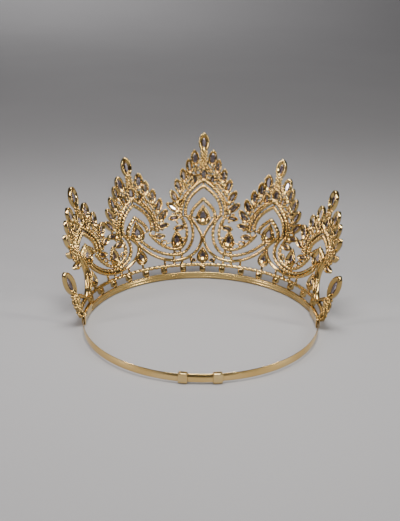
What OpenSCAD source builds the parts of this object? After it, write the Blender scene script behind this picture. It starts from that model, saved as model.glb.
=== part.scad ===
// Tiara-style crown: a pierced wall of five pointed peaks on a base band, closed behind by two
// thin strips that slide past each other through keepers. Millimetres, +Z up, the decorated front
// faces -Y, and the origin is the centre of the ring on the plane that the crown stands on.

/* [Ring] */
// Radius of the ring, to the middle of the base band's wall
ring_r = 75; // [68:0.5:90]
// Height of the base band
band_h = 4.8; // [4:0.1:6]
// Wall of the base band
band_t = 1.6; // [1.2:0.1:2.2]
// Bearing of each end of the base band, from the front
band_end = 77.5; // [74:0.5:80]

/* [Pierced wall] */
// Outward lean of the pierced wall
lean = 16.5; // [8:0.1:20]
// Height of the upper rail, up the slant
rail_v = 9.9; // [9:0.1:12]
// Radius of the upper rail's wire
rail_wire_r = 0.9; // [0.7:0.05:1.2]
// Radius of the arch wires
arch_wire_r = 0.8; // [0.6:0.05:1]
// Radius of the swag wires
swag_wire_r = 0.75; // [0.55:0.05:0.9]
// Radius of the thin stalks that hold the settings
stalk_r = 0.5; // [0.4:0.05:0.7]

/* [Peaks] */
// Height of the centre peak's top setting, up the slant
centre_top = 98; // [88:0.5:104]
// Height of the inner peaks' top setting
inner_top = 84; // [76:0.5:90]
// Height of the outer peaks' top setting
outer_top = 74; // [70:0.5:80]
// Bearing of the inner peaks
inner_bearing = 32.8; // [32:0.2:34]
// Bearing of the outer peaks
outer_bearing = 67.6; // [66:0.2:69]
// Lean of the inner peaks away from the centre
inner_tilt = 1; // [0:0.5:3]
// Lean of the outer peaks towards the centre
outer_tilt = 5.5; // [4:0.5:8]

/* [Settings and stones] */
// Length of a leaf setting
leaf_l = 10.4; // [8:0.1:10.8]
// Width of a leaf setting
leaf_w = 4.9; // [4:0.1:5.2]
// Depth of every setting, through the wall
cup_depth = 3; // [2.4:0.1:4]
// Metal left around each stone
rim = 0.7; // [0.5:0.05:0.9]
// Ledge that each stone sits on, around its open back
ledge = 0.45; // [0.3:0.05:0.6]
// Depth of the stone's pocket
pocket_d = 1.7; // [1.2:0.1:2]
// Height that a stone stands proud of its setting
stone_rise = 1.1; // [0.6:0.1:1.6]

/* [Back band] */
// Height of the back strips
strip_h = 4.8; // [4:0.1:5.4]
// Thickness of each back strip
strip_t = 0.7; // [0.5:0.05:0.9]
// Wall of the keepers and of the end sockets
sleeve_t = 0.55; // [0.45:0.05:0.8]
// Arc that a keeper covers
keeper_arc = 4; // [3.5:0.1:5]
// Arc between the two keepers
keeper_gap = 11; // [9:0.2:13]
// Arc from a strip's root to the socket's mouth
root_arc = 8.5; // [8:0.1:9]
// Bearing of a socket's mouth
mouth = 93.5; // [92:0.5:94]
// Clearance around a sliding strip
slide_gap = 0.25; // [0.2:0.01:0.3]

/* [Hidden] */
gold = [0.83, 0.64, 0.33];
pale_gold = [0.9, 0.76, 0.45];
crystal = [0.84, 0.8, 0.86];
$fn = 48;
wire_sides = 5;

// A peak: bearing, tilt, top, foot of its leaf columns, pear, arch point, pairs of leaves,
// shoulder, half width of its arch, small pear over the rail
CENTRE = [0, 0, centre_top, 37, 46, centre_top - 31, 8, 6.4, 12.8, 17.2];
INNER = [inner_bearing, inner_tilt, inner_top, 32, 37.6, inner_top - 27, 7, 7.6, 11.6, 19.6];
OUTER = [outer_bearing, -outer_tilt, outer_top, 31, 35, outer_top - 24.5, 5, 8.4, 10.8, 17.8];
function bearing_of(p) = p[0];
function tilt_of(p) = p[1];
function top_of(p) = p[2];
function foot_of(p) = p[3];
function pear_of(p) = p[4];
function apex_of(p) = p[5];
function pairs_of(p) = p[6];
function shoulder_of(p) = p[7];
function arch_w_of(p) = p[8];
function low_pear_of(p) = p[9];

// Sizes of the settings that are not plain leaves
top_size = [13.4, 7];
shoulder_size = [11, 5.9];
foot_size = [8, 4];
oval_size = [7.6, 5.2];
inner_leaf_size = [7, 3.2];
pear_size = [11.6, 8];
low_pear_size = [8.6, 6];
swag_pear_size = [11, 6.8];
end_leaf_size = [19, 8.4];
oval_rise = 8.4;
bite = 0.3;
shoulder_drop = 11;

// ---- the pierced wall's surface: a cone through the ring, leaning outward ----
function wall_r(v) = ring_r + v * sin(lean);
function arc_deg(x, v) = x / wall_r(v) * 180 / PI;
function wall_point(q, d = 0) =
    let (r = wall_r(q[1]) + d * cos(lean))
    [r * sin(q[0]), -r * cos(q[0]), q[1] * cos(lean) - d * sin(lean)];
function wall_normal(a) = [cos(lean) * sin(a), -cos(lean) * cos(a), -sin(lean)];
function unit(u) = u / norm(u);

// Where a point of a peak's own sheet, x across and v up, lands on the wall: [bearing, height]
function on_peak(p, q, side = 1) =
    let (t = tilt_of(p), up = q[1] - rail_v,
         x = q[0] * cos(t) + up * sin(t), v = up * cos(t) - q[0] * sin(t) + rail_v)
    [side * (bearing_of(p) + arc_deg(x, v)), v];

function bezier(a, b, c, d, n) = [for (i = [0 : n]) bezier_at(a, b, c, d, i / n)];
function bezier_at(a, b, c, d, t) =
    pow(1 - t, 3) * a + 3 * pow(1 - t, 2) * t * b + 3 * (1 - t) * t * t * c + pow(t, 3) * d;
function both_sides(half) =
    concat([for (i = [len(half) - 1 : -1 : 1]) [-half[i][0], half[i][1]]], half);
function nearest(list, q) =
    let (gaps = [for (p = list) norm(p - q)]) list[search(min(gaps), gaps)[0]];

// ---- the lines of a peak, in its own sheet ----
// Columns of leaves: from the shoulder, out to the waist, and in to the foot
function leaf_at(p, i) =
    let (top = top_of(p) - shoulder_drop, rise = top - foot_of(p))
    bezier_at([shoulder_of(p), top], [15, foot_of(p) + 0.74 * rise],
        [arch_w_of(p) + 17.7, foot_of(p) + 0.34 * rise], [arch_w_of(p) + 4.7, foot_of(p)],
        i / (pairs_of(p) - 1));
// A leaf stands nearly upright at the shoulder and lies flat at the foot
function leaf_turn(p, i) = 6 + 92 * pow(min(1, i / (pairs_of(p) - 1) / 0.87), 3.6);
function leaf_size(p, i) =
    i == 0 ? shoulder_size : i >= pairs_of(p) - 2 ? foot_size : [leaf_l, leaf_w];
function leaf_root(p, i) =
    leaf_at(p, i) - (leaf_size(p, i)[0] / 2 - bite) * [sin(leaf_turn(p, i)), cos(leaf_turn(p, i))];

// The leaf-held arch is double: its second wire runs outside the first and ends lower
arch_grow = 3.4;
function arch_half(p, grow) =
    let (apex = apex_of(p) + 1.3 * grow, foot = pear_of(p) - 0.5 * grow, rise = apex - foot,
         w = arch_w_of(p) + 0.9 * grow)
    bezier([0, apex], [0.5 * w, foot + 0.8 * rise], [1.14 * w, foot + 0.5 * rise], [w, foot], 8);
function inner_arch_half(p) =
    let (apex = apex_of(p) - 9, foot = pear_of(p) - 1, rise = apex - foot)
    bezier([0, apex], [3, foot + 0.7 * rise], [0.7 * arch_w_of(p), foot + 0.45 * rise],
        [0.68 * arch_w_of(p), foot], 7);
function small_leaf_at(p) = [6.4, oval_at(p)[1] - 3.8];
small_leaf_turn = 12;
function oval_at(p) = [0, apex_of(p) + oval_rise];

// ---- wires ----
// A wire swept along a path of [bearing, height] points on the wall
module wire(path, r) {
    last = len(path) - 1;
    points = [for (q = path) wall_point(q)];
    rings = [for (i = [0 : last])
        let (along = unit(points[min(i + 1, last)] - points[max(i - 1, 0)]),
             out = wall_normal(path[i][0]), across = cross(along, out))
        for (k = [0 : wire_sides - 1])
            points[i] + r * (cos(360 * k / wire_sides) * out + sin(360 * k / wire_sides) * across)];
    skin = [for (i = [0 : last - 1], k = [0 : wire_sides - 1])
        let (next = (k + 1) % wire_sides, a = i * wire_sides, b = a + wire_sides)
        [a + k, b + k, b + next, a + next]];
    start_cap = [for (k = [0 : wire_sides - 1]) k];
    end_cap = [for (k = [wire_sides - 1 : -1 : 0]) last * wire_sides + k];
    polyhedron(points = rings, faces = concat(skin, [start_cap, end_cap]), convexity = 8);
}

// A short straight stalk between two places on the wall
module stalk(from, to, r = stalk_r) {
    hull() {
        translate(wall_point(from)) sphere(r, $fn = 6);
        translate(wall_point(to)) sphere(r, $fn = 6);
    }
}

// ---- settings and stones ----
module on_wall(q, turn = 0) {
    rotate([0, 0, q[0]]) translate([0, -wall_r(q[1]), q[1] * cos(lean)])
        rotate([90 + lean, 0, 0]) rotate([0, 0, -turn]) children();
}

module leaf_outline(l, w) {
    r = (l * l + w * w) / (4 * w);
    intersection() {
        translate([r - w / 2, 0]) circle(r);
        translate([w / 2 - r, 0]) circle(r);
    }
}

module pear_outline(l, w) {
    r = w / 2;
    tip = l - r;
    spread = acos(r / tip);
    translate([0, r - l / 2]) {
        circle(r);
        polygon([[r * sin(spread), r * cos(spread)], [0, tip], [-r * sin(spread), r * cos(spread)]]);
    }
}

module oval_outline(l, w) {
    for (end = [-1, 1]) translate([0, end * (l - w) / 2]) circle(w / 2);
    square([w, l - w], center = true);
}

module outline(kind, size, inset = 0) {
    w = size[1] - 2 * inset;
    if (kind == "leaf") leaf_outline(size[0] - 3 * inset, w);
    if (kind == "pear") pear_outline(size[0] - 2.6 * inset, w);
    if (kind == "oval") oval_outline(size[0] - 2 * inset, w);
    if (kind == "square") square([size[0] - 2 * inset, w], center = true);
}

// A setting: a walled cup with a stone pocket in front and an open back
module cup(kind, size) {
    difference() {
        translate([0, 0, -cup_depth / 2]) linear_extrude(cup_depth) outline(kind, size);
        translate([0, 0, cup_depth / 2 - pocket_d]) linear_extrude(pocket_d + 1)
            outline(kind, size, rim);
        translate([0, 0, -cup_depth]) linear_extrude(2 * cup_depth)
            outline(kind, size, rim + ledge);
    }
}

// Its stone: a girdle down on the ledge and a smaller table that stands proud
module stone(kind, size) {
    fit = 0.05;
    girdle = pocket_d + 0.4 * stone_rise;
    translate([0, 0, cup_depth / 2 - pocket_d]) {
        linear_extrude(girdle) outline(kind, size, rim + fit);
        translate([0, 0, girdle]) linear_extrude(0.6 * stone_rise)
            outline(kind, size, rim + fit + 0.45);
    }
}

// ---- the parts of one peak ----
module peak_frame(p, side) {
    far = both_sides(arch_half(p, arch_grow));
    wire([for (q = both_sides(arch_half(p, 0))) on_peak(p, q, side)], arch_wire_r);
    wire([for (q = far) on_peak(p, q, side)], arch_wire_r);
    wire([for (q = both_sides(inner_arch_half(p))) on_peak(p, q, side)], arch_wire_r);
    // the stem from the arch's point up to the top setting, and the bar between the shoulders
    oval_v = oval_at(p)[1];
    seat = oval_size[0] / 2 + 0.2;
    stalk(on_peak(p, [0, top_of(p) - top_size[0] / 2 + bite / 3], side),
        on_peak(p, [0, oval_v + seat], side), 0.8);
    stalk(on_peak(p, [0, oval_v - seat], side), on_peak(p, [0, apex_of(p)], side), 0.8);
    // the small pear stands on the rail
    stalk(on_peak(p, [0, low_pear_of(p) - low_pear_size[0] / 2 - bite], side),
        [side * bearing_of(p), rail_v], 0.9);
    shoulder = leaf_at(p, 0);
    for (end = [-1, 1]) {
        stalk(on_peak(p, [end * (shoulder[0] - shoulder_size[1] / 2 + bite / 3), shoulder[1]], side),
            on_peak(p, [0, shoulder[1]], side));
        small = small_leaf_at(p) - (inner_leaf_size[0] / 2 - bite)
            * [sin(small_leaf_turn), cos(small_leaf_turn)];
        stalk(on_peak(p, [end * small[0], small[1]], side),
            on_peak(p, nearest(far, [end * small[0], small[1]]), side));
        // the second leaf is held by the small one, the rest by the double arch
        beside_small = small_leaf_at(p) + [inner_leaf_size[1] / 2 - 0.1, 0];
        for (i = [1 : pairs_of(p) - 1]) {
            root = [end * leaf_root(p, i)[0], leaf_root(p, i)[1]];
            held = i == 1 ? [end * beside_small[0], beside_small[1]] : nearest(far, root);
            stalk(on_peak(p, root, side), on_peak(p, held, side));
        }
        // the arches' feet are tied together, and the pear is held at its sides
        foot = [end * arch_half(p, 0)[8][0], arch_half(p, 0)[8][1]];
        inner_foot = [end * inner_arch_half(p)[7][0], inner_arch_half(p)[7][1]];
        stalk(on_peak(p, foot, side), on_peak(p, inner_foot, side), 0.6);
        stalk(on_peak(p, foot + [0, 0.35], side), on_peak(p, end < 0 ? far[0] : far[16], side), 0.65);
        stalk(on_peak(p, inner_foot, side),
            on_peak(p, [end * pear_size[1] / 2, pear_of(p) - 2.4], side), 0.6);
    }
    if (p == OUTER) for (k = [0, 1]) wire(flip(tail_line(p, k), side), swag_wire_r);
}

// The outer peaks' outer side has no swag: two lines run down from it to the rail's end
function tail_line(p, k) =
    let (w = arch_w_of(p), v = pear_of(p), foot = k == 0 ? [0.68 * w, v - 0.7] : [w + 0.1, v + 0.4])
    bezier(on_peak(p, foot), on_peak(p, [1 + 2 * k, neck_of(p) - 2]), on_peak(p, [3 + 4 * k, 15]),
        [rail_end - 4.7 + 3.8 * k, rail_v + 0.2], 8);

module peak_settings(p, side) {
    on_wall(on_peak(p, [0, top_of(p)], side), side * tilt_of(p)) cup("leaf", top_size);
    for (end = [-1, 1]) {
        for (i = [0 : pairs_of(p) - 1])
            on_wall(on_peak(p, [end * leaf_at(p, i)[0], leaf_at(p, i)[1]], side),
                side * (tilt_of(p) + end * leaf_turn(p, i))) cup("leaf", leaf_size(p, i));
        on_wall(on_peak(p, [end * small_leaf_at(p)[0], small_leaf_at(p)[1]], side),
            side * (tilt_of(p) + end * small_leaf_turn)) cup("leaf", inner_leaf_size);
    }
}

module peak_stones(p, side) {
    on_wall(on_peak(p, [0, top_of(p)], side), side * tilt_of(p)) stone("leaf", top_size);
    for (end = [-1, 1]) {
        for (i = [0 : pairs_of(p) - 1])
            on_wall(on_peak(p, [end * leaf_at(p, i)[0], leaf_at(p, i)[1]], side),
                side * (tilt_of(p) + end * leaf_turn(p, i))) stone("leaf", leaf_size(p, i));
        on_wall(on_peak(p, [end * small_leaf_at(p)[0], small_leaf_at(p)[1]], side),
            side * (tilt_of(p) + end * small_leaf_turn)) stone("leaf", inner_leaf_size);
    }
}

// The oval under the stem, the pear in the arch and the small pear over the rail
module at_drops(p, side) {
    on_wall(on_peak(p, oval_at(p), side), side * tilt_of(p)) children(0);
    on_wall(on_peak(p, [0, pear_of(p)], side), side * tilt_of(p)) children(1);
    on_wall(on_peak(p, [0, low_pear_of(p)], side), side * tilt_of(p)) children(2);
}

module drop_settings(p, side) {
    at_drops(p, side) {
        cup("oval", oval_size);
        cup("pear", pear_size);
        cup("pear", low_pear_size);
    }
}

module drop_stones(p, side) {
    at_drops(p, side) {
        stone("oval", oval_size);
        stone("pear", pear_size);
        stone("pear", low_pear_size);
    }
}

// ---- the swag between two peaks: a long ogee line and two nested lines under a pear ----
function neck_of(p) = 16 + 0.31 * pear_of(p);
function swag_mid(near, far) =
    bearing_of(near) + (near == CENTRE ? 0.4 : 0.455) * (bearing_of(far) - bearing_of(near));
function swag_pear_v(near) = near == CENTRE ? 29 : 25.8;
function swag_low(near, k) =
    let (low = rail_v + 3.6) low + k * (swag_pear_v(near) - swag_pear_size[0] / 2 - 1.5 - low) / 2;
// Line 0 leaves the inner arch and narrows to the neck; lines 1 and 2 leave the double arch
function swag_line(near, far, k) =
    let (mid = swag_mid(near, far), low = swag_low(near, k), v = pear_of(near), w = arch_w_of(near),
         neck = neck_of(near), grow = arch_grow * (k - 1),
         start = k == 0 ? on_peak(near, [0.7, neck]) : on_peak(near, [w + 0.9 * grow, v - 0.5 * grow]),
         belly = k == 0 ? on_peak(near, [0.7, neck - 6])
             : on_peak(near, [4 + 5.5 * (k - 1), v - 7.5 - (k - 1)]),
         turn = on_peak(near, [k == 0 ? 5 : 0.5 + 5 * k, low + 1]),
         end = k == 0 ? on_peak(far, [-0.8, neck_of(far) - 0.5])
             : on_peak(far, [5.5 - 7.5 * k, pear_of(far) - 10.6 + 3.8 * k]),
         reach = end[0] - mid, rise = end[1] - low)
    concat(k > 0 ? [] : [for (i = [0 : 3]) bezier_at(on_peak(near, [0.68 * w, v - 1]),
            on_peak(near, [0.66 * w, neck + 0.7 * (v - neck)]),
            on_peak(near, [3.4, neck + 0.5 * (v - neck)]), start, i / 4)],
        bezier(start, belly, turn, [mid, low], 8),
        [for (i = [1 : 6]) bezier_at([mid, low], [mid + 0.4 * reach, low],
            [mid + 0.75 * reach, low + 0.4 * rise], end, i / 6)]);

function flip(path, side) = [for (q = path) [side * q[0], q[1]]];

module swag(near, far, side) {
    for (k = [0 : 2]) wire(flip(swag_line(near, far, k), side), swag_wire_r);
    mid = swag_mid(near, far);
    ring_v = swag_pear_v(near) - swag_pear_size[0] / 2 - 2.1;
    on_wall([side * mid, ring_v]) rotate_extrude($fn = 14) translate([2.3, 0]) circle(0.6, $fn = 5);
    // the struts down to the rail and the ties between the nested lines
    for (end = [-1, 1]) {
        foot = side * (mid + end * 2.1);
        stalk([foot, swag_low(near, 1)], [foot, rail_v], 0.7);
        stalk([foot, swag_low(near, 1)], [side * (mid + end * 1.4), ring_v], 0.6);
        outer = mid + end * 7.2;
        stalk([side * outer, nearest(swag_line(near, far, 0), [outer, swag_low(near, 0)])[1]],
            [side * outer, rail_v], 0.6);
    }
    // the pear sits on the ring and is tied to the innermost line on both sides
    for (end = [-1, 1]) {
        beside = [mid + arc_deg(end * swag_pear_size[1] / 2, swag_pear_v(near)),
            swag_pear_v(near) - 2.2];
        stalk([side * beside[0], beside[1]],
            flip([nearest(swag_line(near, far, 2), beside + [end * 3, 1])], side)[0]);
    }
    tip = swag_line(near, far, 2)[14];
    arch = on_peak(far, [-arch_w_of(far), pear_of(far)]);
    stalk([side * tip[0], tip[1]], [side * arch[0], arch[1]], 0.6);
    tip_1 = swag_line(near, far, 1)[14];
    tip_0 = swag_line(near, far, 0)[18];
    stalk([side * tip_1[0], tip_1[1]], [side * tip_0[0], tip_0[1]], 0.6);
}

module swag_pear(near, far, side) {
    on_wall([side * swag_mid(near, far), swag_pear_v(near)]) children();
}

// ---- the ends of the wall ----
end_leaf_at = [92.6, 29.4];
end_leaf_turn = 14;
function end_line() = bezier([91.2, band_h + 0.9], [93.4, 8], [93, 13], [91.2, 21.4], 6);
module end_scroll(side) {
    wire(flip(end_line(), side), 0.9);
    wire(flip(bezier([rail_end - 0.5, rail_v], [84, rail_v + 0.5], [88.5, 9.5], end_line()[2], 5),
        side), swag_wire_r);
    wire(flip(bezier([rail_end - 2, rail_v], [84, 15], [87, 19.5], end_line()[5], 5), side),
        swag_wire_r);
    for (i = [1 : 5]) {
        bead = end_line()[i];
        stalk([side * (bead[0] + 0.8), bead[1] - 0.5], [side * (bead[0] + 1.5), bead[1] + 0.3], 1.1);
        stalk([side * (bead[0] - 0.7), bead[1]], [side * (bead[0] - 1.3), bead[1] - 0.4], 0.8);
    }
}

module at_end_leaf(side) {
    on_wall([side * end_leaf_at[0], end_leaf_at[1]], side * end_leaf_turn) children();
}

// ---- the base band, the rail and the small square settings between them ----
// A band of the ring between two bearings, with its inner and outer radius and its height
module ring_arc(from, to, r_in, r_out, z0, z1) {
    rotate([0, 0, from - 90]) rotate_extrude(angle = to - from)
        translate([r_in, z0]) square([r_out - r_in, z1 - z0]);
}

posts_each_side = 7;
post_step = 10.6;
post_size = [4.4, 3.9];
post_v = (band_h / cos(lean) + rail_v - rail_wire_r) / 2 + 0.15;

module at_posts() {
    for (i = [-posts_each_side : posts_each_side]) on_wall([i * post_step, post_v]) children();
}

rail_end = 80;
module base_band() {
    color(gold) difference() {
        ring_arc(-band_end, band_end, ring_r - band_t / 2, ring_r + band_t / 2, 0, band_h);
        // two fine seams run round the inner face
        for (seam = [0.3, 0.72]) ring_arc(-band_end - 1, band_end + 1, ring_r - band_t / 2 - 1,
            ring_r - band_t / 2 + 0.15, seam * band_h, seam * band_h + 0.25);
    }
}

module upper_rail() {
    color(gold) rotate([0, 0, -rail_end - 90]) rotate_extrude(angle = 2 * rail_end)
        translate([wall_r(rail_v), rail_v * cos(lean)]) circle(rail_wire_r);
}

module rail_settings() { color(gold) at_posts() cup("square", post_size); }
module rail_stones() { color(crystal) at_posts() stone("square", post_size); }

// ---- the back: two strips, one inside the other, with a keeper fixed on each free end ----
lane_gap = 0.3;
strip_z = (band_h + 1.6 - strip_h) / 2;
sleeve_top = strip_z + strip_h + slide_gap + sleeve_t;
left_lane = ring_r + lane_gap / 2;
right_lane = ring_r - lane_gap / 2 - strip_t;
half_gap = keeper_gap / 2;
strip_tail = 0.4;

module sleeve(from, to, r_in, r_out) {
    difference() {
        ring_arc(from, to, r_in - sleeve_t, r_out + sleeve_t, 0, sleeve_top);
        ring_arc(from - 1, to + 1, r_in, r_out, strip_z - slide_gap, strip_z + strip_h + slide_gap);
    }
}

module end_socket(lane, side) {
    low = min(side * band_end, side * mouth);
    high = max(side * band_end, side * mouth);
    sleeve(low, high, lane - slide_gap, lane + strip_t + slide_gap);
}

module left_end_socket() { color(pale_gold) end_socket(left_lane, 1); }
module right_end_socket() { color(pale_gold) end_socket(right_lane, -1); }
module left_back_strip() {
    color(pale_gold) ring_arc(mouth - root_arc, 180 + half_gap + keeper_arc + strip_tail,
        left_lane, left_lane + strip_t, strip_z, strip_z + strip_h);
}
module right_back_strip() {
    color(pale_gold) ring_arc(180 - half_gap - keeper_arc - strip_tail, 360 - mouth + root_arc,
        right_lane, right_lane + strip_t, strip_z, strip_z + strip_h);
}
// Each keeper is fast on one strip and clears the other, which slides through it
module left_keeper() {
    color(gold) sleeve(180 - half_gap - keeper_arc, 180 - half_gap,
        right_lane, left_lane + strip_t + slide_gap);
}
module right_keeper() {
    color(gold) sleeve(180 + half_gap, 180 + half_gap + keeper_arc,
        right_lane - slide_gap, left_lane + strip_t);
}

// ---- the named pieces of the pierced wall ----
module centre_frame() { color(gold) peak_frame(CENTRE, 1); }
module left_inner_frame() { color(gold) peak_frame(INNER, 1); }
module right_inner_frame() { color(gold) peak_frame(INNER, -1); }
module left_outer_frame() { color(gold) peak_frame(OUTER, 1); }
module right_outer_frame() { color(gold) peak_frame(OUTER, -1); }
module centre_leaf_settings() { color(gold) peak_settings(CENTRE, 1); }
module left_inner_leaf_settings() { color(gold) peak_settings(INNER, 1); }
module right_inner_leaf_settings() { color(gold) peak_settings(INNER, -1); }
module left_outer_leaf_settings() { color(gold) peak_settings(OUTER, 1); }
module right_outer_leaf_settings() { color(gold) peak_settings(OUTER, -1); }
module centre_leaf_stones() { color(crystal) peak_stones(CENTRE, 1); }
module left_inner_leaf_stones() { color(crystal) peak_stones(INNER, 1); }
module right_inner_leaf_stones() { color(crystal) peak_stones(INNER, -1); }
module left_outer_leaf_stones() { color(crystal) peak_stones(OUTER, 1); }
module right_outer_leaf_stones() { color(crystal) peak_stones(OUTER, -1); }
module centre_drop_settings() { color(gold) drop_settings(CENTRE, 1); }
module left_inner_drop_settings() { color(gold) drop_settings(INNER, 1); }
module right_inner_drop_settings() { color(gold) drop_settings(INNER, -1); }
module left_outer_drop_settings() { color(gold) drop_settings(OUTER, 1); }
module right_outer_drop_settings() { color(gold) drop_settings(OUTER, -1); }
module centre_drop_stones() { color(crystal) drop_stones(CENTRE, 1); }
module left_inner_drop_stones() { color(crystal) drop_stones(INNER, 1); }
module right_inner_drop_stones() { color(crystal) drop_stones(INNER, -1); }
module left_outer_drop_stones() { color(crystal) drop_stones(OUTER, 1); }
module right_outer_drop_stones() { color(crystal) drop_stones(OUTER, -1); }
module left_front_swag() { color(gold) swag(CENTRE, INNER, 1); }
module right_front_swag() { color(gold) swag(CENTRE, INNER, -1); }
module left_side_swag() { color(gold) swag(INNER, OUTER, 1); }
module right_side_swag() { color(gold) swag(INNER, OUTER, -1); }
module left_front_pear_setting() { color(gold) swag_pear(CENTRE, INNER, 1) cup("pear", swag_pear_size); }
module right_front_pear_setting() { color(gold) swag_pear(CENTRE, INNER, -1) cup("pear", swag_pear_size); }
module left_side_pear_setting() { color(gold) swag_pear(INNER, OUTER, 1) cup("pear", swag_pear_size); }
module right_side_pear_setting() { color(gold) swag_pear(INNER, OUTER, -1) cup("pear", swag_pear_size); }
module left_front_pear_stone() { color(crystal) swag_pear(CENTRE, INNER, 1) stone("pear", swag_pear_size); }
module right_front_pear_stone() { color(crystal) swag_pear(CENTRE, INNER, -1) stone("pear", swag_pear_size); }
module left_side_pear_stone() { color(crystal) swag_pear(INNER, OUTER, 1) stone("pear", swag_pear_size); }
module right_side_pear_stone() { color(crystal) swag_pear(INNER, OUTER, -1) stone("pear", swag_pear_size); }
module left_end_scroll() { color(gold) end_scroll(1); }
module right_end_scroll() { color(gold) end_scroll(-1); }
module left_end_leaf_setting() { color(gold) at_end_leaf(1) cup("leaf", end_leaf_size); }
module right_end_leaf_setting() { color(gold) at_end_leaf(-1) cup("leaf", end_leaf_size); }
module left_end_leaf_stone() { color(crystal) at_end_leaf(1) stone("leaf", end_leaf_size); }
module right_end_leaf_stone() { color(crystal) at_end_leaf(-1) stone("leaf", end_leaf_size); }

base_band();
upper_rail();
rail_settings();
rail_stones();
centre_frame();
left_inner_frame();
right_inner_frame();
left_outer_frame();
right_outer_frame();
centre_leaf_settings();
left_inner_leaf_settings();
right_inner_leaf_settings();
left_outer_leaf_settings();
right_outer_leaf_settings();
centre_leaf_stones();
left_inner_leaf_stones();
right_inner_leaf_stones();
left_outer_leaf_stones();
right_outer_leaf_stones();
centre_drop_settings();
left_inner_drop_settings();
right_inner_drop_settings();
left_outer_drop_settings();
right_outer_drop_settings();
centre_drop_stones();
left_inner_drop_stones();
right_inner_drop_stones();
left_outer_drop_stones();
right_outer_drop_stones();
left_front_swag();
right_front_swag();
left_side_swag();
right_side_swag();
left_front_pear_setting();
right_front_pear_setting();
left_side_pear_setting();
right_side_pear_setting();
left_front_pear_stone();
right_front_pear_stone();
left_side_pear_stone();
right_side_pear_stone();
left_end_scroll();
right_end_scroll();
left_end_leaf_setting();
right_end_leaf_setting();
left_end_leaf_stone();
right_end_leaf_stone();
left_end_socket();
right_end_socket();
left_back_strip();
right_back_strip();
left_keeper();
right_keeper();
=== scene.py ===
"""A tiara-style crown: cast gold wirework, rimmed stone settings and a sliding back band.

Sizes are held in millimetres, as a goldsmith would note them, and become metres when a mesh is
made. A place on the pierced wall is a bearing from the front, a height up the slant and a depth
out of the wall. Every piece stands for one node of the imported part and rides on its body.
"""

from __future__ import annotations

import logging
import math
import random
from dataclasses import dataclass
from enum import Enum
from typing import Any, Sequence

import bpy
import numpy as np
from mathutils import Matrix, Vector


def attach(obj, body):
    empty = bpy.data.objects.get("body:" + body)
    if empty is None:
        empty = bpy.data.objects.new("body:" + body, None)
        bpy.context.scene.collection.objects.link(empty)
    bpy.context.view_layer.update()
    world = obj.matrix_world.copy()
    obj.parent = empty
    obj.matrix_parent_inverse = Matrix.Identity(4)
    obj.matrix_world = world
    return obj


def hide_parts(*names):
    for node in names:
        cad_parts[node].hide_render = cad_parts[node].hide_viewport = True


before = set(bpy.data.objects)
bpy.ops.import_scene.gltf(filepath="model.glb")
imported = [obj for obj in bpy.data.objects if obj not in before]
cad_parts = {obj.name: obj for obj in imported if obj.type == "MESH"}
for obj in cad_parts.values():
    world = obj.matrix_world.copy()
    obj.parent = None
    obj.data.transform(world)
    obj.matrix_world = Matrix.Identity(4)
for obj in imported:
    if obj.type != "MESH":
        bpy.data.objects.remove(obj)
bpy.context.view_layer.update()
LOG = logging.getLogger("crown")
MM = 0.001
Pair = tuple[float, float]
Colour = tuple[float, float, float]
Point = tuple[float, float, float]


# ---------------------------------------------------------------- shader maths
class Value:
    """A number that varies over a surface; arithmetic on it adds Math nodes."""

    def __init__(self, graph: "Graph", socket: bpy.types.NodeSocket) -> None:
        """Wraps a socket.

        Args:
            graph: the node graph that new nodes go into.
            socket: the output that carries the number.
        """
        self.graph = graph
        self.socket = socket

    def _math(self, operation: str, *terms: Any) -> "Value":
        """Adds one Math node.

        Args:
            operation: the node's operation.
            terms: its inputs in order, as Values or numbers.

        Returns:
            The node's result.
        """
        inputs = {index: term for index, term in enumerate(terms)}
        return self.graph.value("ShaderNodeMath", {"operation": operation}, inputs, "Value")

    def __add__(self, other: Any) -> "Value":
        """self + other."""
        return self._math("ADD", self, other)

    def __radd__(self, other: Any) -> "Value":
        """other + self."""
        return self._math("ADD", other, self)

    def __sub__(self, other: Any) -> "Value":
        """self - other."""
        return self._math("SUBTRACT", self, other)

    def __rsub__(self, other: Any) -> "Value":
        """other - self."""
        return self._math("SUBTRACT", other, self)

    def __mul__(self, other: Any) -> "Value":
        """self * other."""
        return self._math("MULTIPLY", self, other)

    def __rmul__(self, other: Any) -> "Value":
        """other * self."""
        return self._math("MULTIPLY", other, self)

    def angle_of(self, other: "Value") -> "Value":
        """The angle whose tangent is self / other."""
        return self._math("ARCTAN2", self, other)

    def step(self, low: float, high: float) -> "Value":
        """Rises smoothly from 0 at low to 1 at high.

        Args:
            low: where the rise starts.
            high: where it ends.

        Returns:
            The eased number.
        """
        settings = {"interpolation_type": "SMOOTHSTEP"}
        inputs = {"Value": self, "From Min": low, "From Max": high}
        return self.graph.value("ShaderNodeMapRange", settings, inputs, "Result")


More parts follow.
